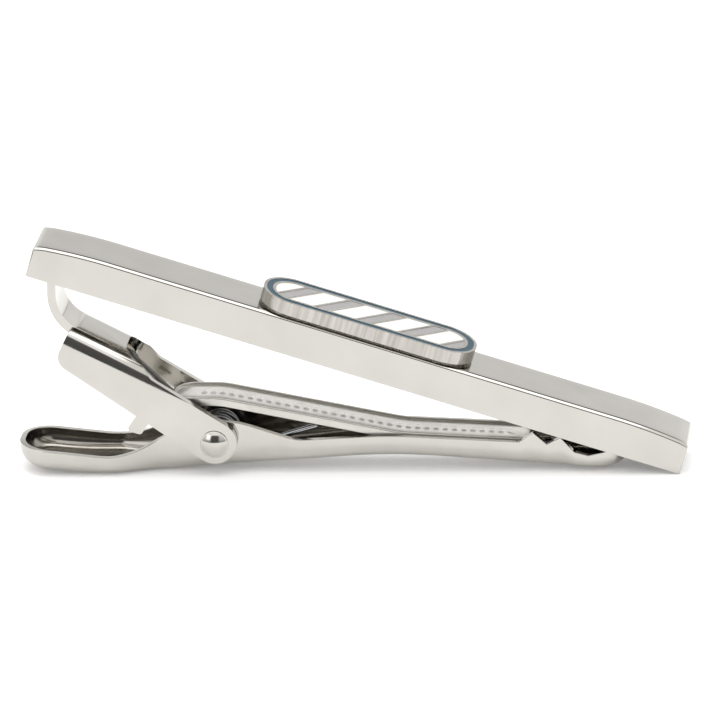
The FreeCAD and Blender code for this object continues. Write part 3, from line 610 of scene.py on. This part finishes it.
def grip_outline(inset, front_inset):
    """Closed plan outline of the strip, moved in by one inset at its sides and back and one in front."""
    back, half, front = GRIP_BACK + inset, GRIP_HALF - inset, GRIP_FRONT[0] - front_inset
    sides = [(back, half, GRIP_ROUND - inset), (front, half, GRIP_FRONT_ROUND)]
    line = rounded_line([(back, 0, 0), *sides, (front, 0, 0)], steps=16)
    return mirrored_loop(divided(line, GRIP_STEP))


def on_grip_line(name, plan, lift):
    """Object from plan places and lifts over the strip's upper line."""
    height = np.interp(plan[..., 0], GRIP_LINE[:, 0], GRIP_LINE[:, 1]) + lift
    return grid_piece(name, np.concatenate([plan, height[..., None]], axis=-1))


def grip_tray():
    """Ring grid: rows have an inset, a share and a lift over the strip's upper line."""
    under, floor, half = -GRIP_DEPTH, -GRIP_RIM, GRIP_RIM_WIDTH / 2
    rows = [(GRIP_CHAMFER, 1, under), (GRIP_CHAMFER, 0, under), (0, 0, under + GRIP_CHAMFER)]
    rows += [(half * (1 - math.cos(a)), 0, half * (math.sin(a) - 1)) for a in np.linspace(0, math.pi, 13)]
    rows += [(GRIP_RIM_WIDTH, 0, floor + GRIP_FILLET), (GRIP_FLOOR, 0, floor)]
    rows += [(GRIP_FLOOR, share, floor) for share in (0.5, 1)]
    outline = grip_outline(0, 0)
    plan = ring_grid(outline, middle_line(outline, GRIP_HALF), rows)
    lift = np.repeat(np.array([row[2] for row in rows])[:, None], len(outline), axis=1)
    front = np.clip((outline[:, 0] - GRIP_FRONT[0] + RIM_FADE_START) / RIM_FADE_RUN, 0, 1)
    front *= np.abs(outline[:, 1]) < GRIP_HALF - RIM_FADE_SIDE
    lift = np.where(lift > floor, floor + (lift - floor) * (1 - front), lift)
    return on_grip_line("grip_tray", plan, lift)


tray = grip_tray()
settle(tray, "lever_side", "satin_plate", SATIN_PLATE, "grip_plate")

# %% [markdown]
# ## The grained floor
# The tray's floor is grained, and a plain row of stamped bars gives the cloth something to hold on
# to. It is a thin layer on the tray, so that it can have its own finish while the rim stays
# satin. The bars are lifted in the same grid: a bar is where both the distance along its pitch
# and the distance from the middle line are small, with sloped sides.

# %% Grained floor
STAMP_PITCH, STAMP_LENGTH, STAMP_HALF, STAMP_HEIGHT, STAMP_SLOPE = 0.82, 0.42, 0.3, 0.03, 0.08
STAMP_START, STAMP_END = -1.5, 27.2
GRAIN_LAYER, GRAIN_EDGE = 0.02, 0.05


def stamped_bars(plan):
    """Height of the bars: the product of two ramps, along the tray within a pitch and across it."""
    x, across = plan[..., 0], np.abs(plan[..., 1])
    along = np.abs((x - STAMP_START) % STAMP_PITCH - STAMP_PITCH / 2)
    ends = np.clip((STAMP_LENGTH / 2 - along) / STAMP_SLOPE + 0.5, 0, 1)
    sides = np.clip((STAMP_HALF - across) / STAMP_SLOPE + 0.5, 0, 1)
    return STAMP_HEIGHT * ends * sides * ((x > STAMP_START) & (x < STAMP_END))


def grained_floor():
    """Closed ring grid on the tray's floor: underside, edge, then rows over the bars to the middle."""
    outline = grip_outline(GRIP_FLOOR, GRAIN_EDGE)
    top, half = GRAIN_LAYER - GRIP_RIM, GRIP_HALF - GRIP_FLOOR - GRAIN_EDGE
    across = [half, half / 2, *(STAMP_HALF + STAMP_SLOPE * np.array([0.5, 0, -0.5])), 0]
    rows = [(0, 1, -GRIP_RIM - GRAIN_LAYER), (0, 0, -GRIP_RIM - GRAIN_LAYER), (0, 0, -GRIP_RIM)]
    rows += [(GRAIN_EDGE, 1 - y / half, top) for y in across]
    plan = ring_grid(outline, middle_line(outline, GRIP_HALF), rows)
    lift = np.array([row[2] for row in rows])[:, None]
    return on_grip_line("grip_grain", plan, lift + stamped_bars(plan) * (lift == top))


grain = grained_floor()
# The grained floor gets the near-white plate: painted light under the bar.
settle(grain, "lever_side", "satin_plate", GRAINED_PLATE_WITH_PAINTED_LIGHT, "grip_plate")

# %% [markdown]
# ## The rivet
# The pivot is a shouldered pin, riveted over at both ends. A turned piece is a section carried
# round an axis: here from the tip of one dome, over a thin seating ring, along the pin, and out to
# the other dome.

# %% Rivet
RIVET_SEAT, HEAD_RADIUS, HEAD_HEIGHT, PIN_RADIUS = 3.3, 1.25, 0.55, 0.75
HEAD_RING, HEAD_STEP, RING_EASE = 0.14, 0.12, 0.05


def rivet():
    """Turned grid: radius and distance along Y of each section point, carried round a full turn."""
    dome_radius = HEAD_RADIUS - HEAD_STEP
    dome_height = HEAD_HEIGHT - HEAD_RING
    ball = (dome_radius ** 2 + dome_height ** 2) / (2 * dome_height)
    lean = np.linspace(0, math.asin(dome_radius / ball), 14)
    dome = np.column_stack([ball * np.sin(lean), RIVET_SEAT + HEAD_HEIGHT - ball * (1 - np.cos(lean))])
    ring = np.array([
        (HEAD_RADIUS - RING_EASE, RIVET_SEAT + HEAD_RING),
        (HEAD_RADIUS, RIVET_SEAT + HEAD_RING - RING_EASE),
        (HEAD_RADIUS, RIVET_SEAT),
        (PIN_RADIUS, RIVET_SEAT),
    ])
    near = np.concatenate([dome, ring])
    section = np.concatenate([near * (1, -1), near[::-1]])
    angle = np.linspace(0, 2 * math.pi, 72, endpoint=False)
    radius, along = section[:, :1], section[:, 1:]
    grid = np.stack([
        radius * np.cos(angle),
        np.repeat(along, len(angle), axis=1),
        radius * np.sin(angle),
    ], axis=-1)
    return grid_piece("rivet", grid, sharp=30)


pin = rivet()
settle(pin, "bar_side", "bright_plate", BRIGHT_PLATE, "pivot_rivet")

# %% [markdown]
# ## The spring
# A torsion spring of drawn wire sits round the pin. One leg lies under the bracket, the other
# under the grip plate. The wire's middle line is worked out first: a straight leg, a
# coil whose pitch eases in and out, and another leg. A circle is then carried along it. The
# two legs belong to different bodies.

# %% Spring wire path
WIRE, COIL_RADIUS, COIL_HALF, COIL_TURNS = 0.5, 1.65, 1.35, 2
COIL_POINTS, WIRE_TIP_SHARE = 260, 0.9
TONGUE_UNDER, LEG_GAP = 2.97, 0.05
BRACKET_LEG = (-13.7, TONGUE_UNDER - LEG_GAP - WIRE / 2)
LEVER_LEG_X = 9.0
LEVER_LEG_DROP = GRIP_DEPTH + LEG_GAP + WIRE / 2
LEVER_LEG = (LEVER_LEG_X, np.interp(LEVER_LEG_X, *zip(GRIP_BEND, GRIP_SEAT)) - LEVER_LEG_DROP)


def spring_line():
    """Middle line of the wire: a leg, a coil with places (r cos, y, r sin), and another leg.

    A leg touches the coil where its end's direction is acos(r / reach) away from the radius.
    """
    reach = np.hypot(*np.transpose([BRACKET_LEG, LEVER_LEG]))
    ends = [math.atan2(end[1], end[0]) for end in (BRACKET_LEG, LEVER_LEG)]
    first = ends[0] + math.acos(COIL_RADIUS / reach[0]) - math.radians(BRACKET_TILT)
    last = ends[1] - math.acos(COIL_RADIUS / reach[1])
    turn = 2 * math.pi * COIL_TURNS + (last - first) % (2 * math.pi)
    ramp = math.pi / 4
    run = np.linspace(0, turn, COIL_POINTS)
    pitch = 2 * COIL_HALF / (turn - ramp)
    aside = COIL_HALF - pitch * (run - ramp / 2)
    aside = np.where(run < ramp, COIL_HALF - pitch * run ** 2 / (2 * ramp), aside)
    aside = np.where(run > turn - ramp, pitch * (turn - run) ** 2 / (2 * ramp) - COIL_HALF, aside)
    coil = np.column_stack([COIL_RADIUS * np.cos(first + run), aside, COIL_RADIUS * np.sin(first + run)])
    legs = np.sqrt(reach ** 2 - COIL_RADIUS ** 2)
    start = coil[0] - np.array([-math.sin(first), 0, math.cos(first)]) * legs[0]
    finish = coil[-1] + np.array([-math.sin(last), 0, math.cos(last)]) * legs[1]
    share = np.linspace(0, 1, 5)[:-1, None]
    far_leg, near_leg = start + (coil[0] - start) * share, finish + (coil[-1] - finish) * share[::-1]
    return np.concatenate([far_leg, coil, near_leg])


def wire_tube(name, line, radius, sides=24):
    """Circle carried along a line: its two directions are across the line, one of them nearly along Y."""
    along = np.gradient(line, axis=0)
    along /= np.linalg.norm(along, axis=1, keepdims=True)
    flat = np.cross(along, (0.0, 1.0, 0.0))
    flat /= np.linalg.norm(flat, axis=1, keepdims=True)
    up = np.cross(flat, along)
    angle = np.linspace(0, 2 * math.pi, sides, endpoint=False)[None, :, None]
    size = np.full(len(line) + 4, radius)
    size[[0, -1]] = 0
    size[[1, -2]] = radius * WIRE_TIP_SHARE
    spot = np.concatenate([[0, 0], np.arange(len(line)), [len(line) - 1] * 2])
    ring = np.cos(angle) * flat[spot][:, None] + np.sin(angle) * up[spot][:, None]
    return grid_piece(name, line[spot][:, None] + size[:, None, None] * ring)


# %% Spring
spring = wire_tube("spring_wire", spring_line(), WIRE / 2)
spring.data.materials.append(SPRING_STEEL)
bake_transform(spring)
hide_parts("torsion_spring")

# %% [markdown]
# ## The bracket and the plaque
# The bracket is a folded blank with ears, lugs and a tongue. Its outline isn't a simple grid, so a
# copy of its solid is used: the loose triangles are joined, flat ones are merged, and a bevel
# rounds the sheared edges. The plaque's metal is treated in the same way.

# %% Joined copies of solids


def eased_copy(node, name, width, angle=30):
    """Copy of a solid with its triangles joined, flat areas merged, soft shading and rounded edges."""
    mesh = nodes[node].data.copy()
    mesh.name = name
    joined = bmesh.new()
    joined.from_mesh(mesh)
    bmesh.ops.remove_doubles(joined, verts=joined.verts, dist=1e-6)
    bmesh.ops.dissolve_limit(joined, angle_limit=math.radians(0.2), verts=joined.verts, edges=joined.edges)
    joined.to_mesh(mesh)
    joined.free()
    mesh.shade_smooth()
    mesh.set_sharp_from_angle(angle=math.radians(angle))
    piece = bpy.data.objects.new(name, mesh)
    scene.collection.objects.link(piece)
    ease_edges(piece, width, angle)
    print(name, len(mesh.polygons), "faces")
    return piece


bracket = eased_copy("clip_bracket", "bracket", 0.18)
settle(bracket, "bar_side", "bright_plate", BRIGHT_PLATE, "clip_bracket")
plaque = eased_copy("emblem_base", "plaque", 0.04)
settle(plaque, "bar_side", "bright_plate", STRUCK_PLATE, "emblem_base")

# %% [markdown]
# ## Floor and light
# The clip lies on a white sweep in a light tent. Polished metal shows what is round it, so the
# light is part of the look: a pale floor, a white roof, a grey back wall with a darker seam over
# it, and the dark opening in front through which the picture is taken. The sky is a pair of ramps
# over one angle, which keeps the edges of these bands soft.

# %% Floor


def studio_floor():
    """Large white sheet just under the clip, with a faint glow of its own and a faint tooth in its tone."""
    size, gap = 1.5, 0.01 * MM
    corners = np.array([(-size, -size), (size, -size), (size, size), (-size, size)])
    mesh = bpy.data.meshes.new("floor")
    mesh.from_pydata(np.column_stack([corners, np.full(4, cad_low.z - gap)]), [], [(0, 1, 2, 3)])
    floor = bpy.data.objects.new("floor", mesh)
    scene.collection.objects.link(floor)
    finish, tree, shader, place = new_finish("white paper sweep")
    tooth = add_node(tree, "ShaderNodeTexNoise", {"Vector": place, "Scale": per_metre(3.0), "Detail": 2.0})
    tone = add_node(tree, "ShaderNodeMix", {
        "Factor": tooth.outputs["Fac"], "A": linear("#FBFBFB"), "B": linear("#F8F8F8"),
    }, data_type="RGBA")
    tree.links.new(tone.outputs["Result"], shader.inputs["Base Color"])
    shader.inputs["Roughness"].default_value = 0.9
    shader.inputs["Specular IOR Level"].default_value = 0.1
    # The glow is painted light: it lifts the contact shadows on the floor and the light it throws up.
    shader.inputs["Emission Color"].default_value = linear("#FFFFFF")
    shader.inputs["Emission Strength"].default_value = 0.15
    mesh.materials.append(finish)


studio_floor()

# %% Sky and lamps
SKY_MIDDLE = [
    (0.0, 0.1), (40.0, 0.12), (46.0, 1.4), (124.0, 1.4),
    (129.0, 0.1), (144.0, 0.14), (150.0, 0.68), (158.0, 0.86), (165.0, 1.07), (180.0, 1.13),
]
SKY_SIDES = [(0.0, 0.3), (15.0, 0.7), (45.0, 1.1), (135.0, 1.1), (165.0, 0.7), (180.0, 0.5)]
SLOT_HALF, SLOT_FADE = 0.3, 0.25


def arc_ramp(tree, share, steps):
    """Colour ramp from pairs of degrees over the front horizon and light."""
    ramp = add_node(tree, "ShaderNodeValToRGB", {"Fac": share})
    marks = ramp.color_ramp.elements
    for _ in steps[2:]:
        marks.new(0.5)
    for mark, (degrees, light) in zip(marks, steps):
        mark.position = degrees / 180
        mark.color = (light, light, light, 1.0)
    return ramp.outputs["Color"]


def studio_sky():
    """World whose light depends on the angle over the front horizon, with other steps to the sides.

    The angle is that of the direction's height and its way to the front, so the steps are bands
    that run from left to right over the clip.
    """
    world = bpy.data.worlds.new("light tent")
    world.use_nodes = True
    tree = world.node_tree
    way = add_node(tree, "ShaderNodeSeparateXYZ", {
        "Vector": add_node(tree, "ShaderNodeTexCoord").outputs["Generated"],
    }).outputs
    front = add_node(tree, "ShaderNodeMath", {0: way["Y"], 1: -1.0}, operation="MULTIPLY").outputs[0]
    angle = add_node(tree, "ShaderNodeMath", {0: way["Z"], 1: front}, operation="ARCTAN2").outputs[0]
    share = add_node(tree, "ShaderNodeMath", {0: angle, 1: math.pi}, operation="DIVIDE").outputs[0]
    aside = add_node(tree, "ShaderNodeMath", {0: way["X"]}, operation="ABSOLUTE").outputs[0]
    blend = add_node(tree, "ShaderNodeMapRange", {
        "Value": aside, "From Min": SLOT_HALF, "From Max": SLOT_HALF + SLOT_FADE,
    }, interpolation_type="SMOOTHSTEP")
    light = add_node(tree, "ShaderNodeMix", {
        "Factor": blend.outputs["Result"],
        "A": arc_ramp(tree, share, SKY_MIDDLE),
        "B": arc_ramp(tree, share, SKY_SIDES),
    }, data_type="RGBA")
    tree.links.new(light.outputs["Result"], tree.nodes["Background"].inputs["Color"])
    scene.world = world


def soft_lamp(name, place, width, height, power):
    """Area lamp that faces the clip."""
    lamp = bpy.data.lights.new(name, "AREA")
    lamp.shape = "RECTANGLE"
    lamp.size, lamp.size_y, lamp.energy = width, height, power
    holder = bpy.data.objects.new(name, lamp)
    holder.location = place
    holder.rotation_mode = "QUATERNION"
    holder.rotation_quaternion = (-holder.location).to_track_quat("-Z", "Y")
    scene.collection.objects.link(holder)


studio_sky()
soft_lamp("overhead", (0.0, 0.05, 0.6), 0.6, 0.5, 1.3)
soft_lamp("front left", (-0.45, -0.5, 0.35), 0.35, 0.35, 0.4)

# %% [markdown]
# ## Camera
# The photograph was taken from afar with a long lens, a little above the clip and slightly turned,
# and the picture leans a few degrees. The camera is placed by those angles and by one known pair:
# the pivot's place in the picture.

# %% Camera
VIEW_AZIMUTH, VIEW_ELEVATION, VIEW_ROLL = 7.1, 19.9, 2.7
PICTURE = 720
PIXELS_PER_MM = 11.26
PIVOT_PIXEL = np.array([219.1, 431.1])
LENS, SENSOR = 300.0, 36.0


def studio_camera():
    """Long lens: right and up are the view's axes, turned by the roll, and the pivot falls on its pixel."""
    azimuth, elevation, roll = np.radians([VIEW_AZIMUTH, VIEW_ELEVATION, VIEW_ROLL])
    back = np.array([
        math.sin(azimuth) * math.cos(elevation),
        -math.cos(azimuth) * math.cos(elevation),
        math.sin(elevation),
    ])
    level = np.array([math.cos(azimuth), math.sin(azimuth), 0.0])
    upright = np.cross(back, level)
    right = level * math.cos(roll) - upright * math.sin(roll)
    up = upright * math.cos(roll) + level * math.sin(roll)
    shift = (PICTURE / 2 - PIVOT_PIXEL) * (1, -1) / PIXELS_PER_MM
    aim = PIVOT + right * shift[0] + up * shift[1]
    distance = PICTURE / PIXELS_PER_MM * LENS / SENSOR
    data = bpy.data.cameras.new("camera")
    data.lens, data.sensor_width = LENS, SENSOR
    data.clip_start, data.clip_end = 0.01, 10.0
    camera = bpy.data.objects.new("camera", data)
    turn = np.identity(4)
    turn[:3, :3] = np.column_stack([right, up, back])
    turn[:3, 3] = (aim + back * distance) * MM
    camera.matrix_world = Matrix(turn.tolist())
    scene.collection.objects.link(camera)
    scene.camera = camera
    print("camera", round(distance, 1), "mm from", aim.round(2))


studio_camera()
scene.view_settings.view_transform = "Standard"
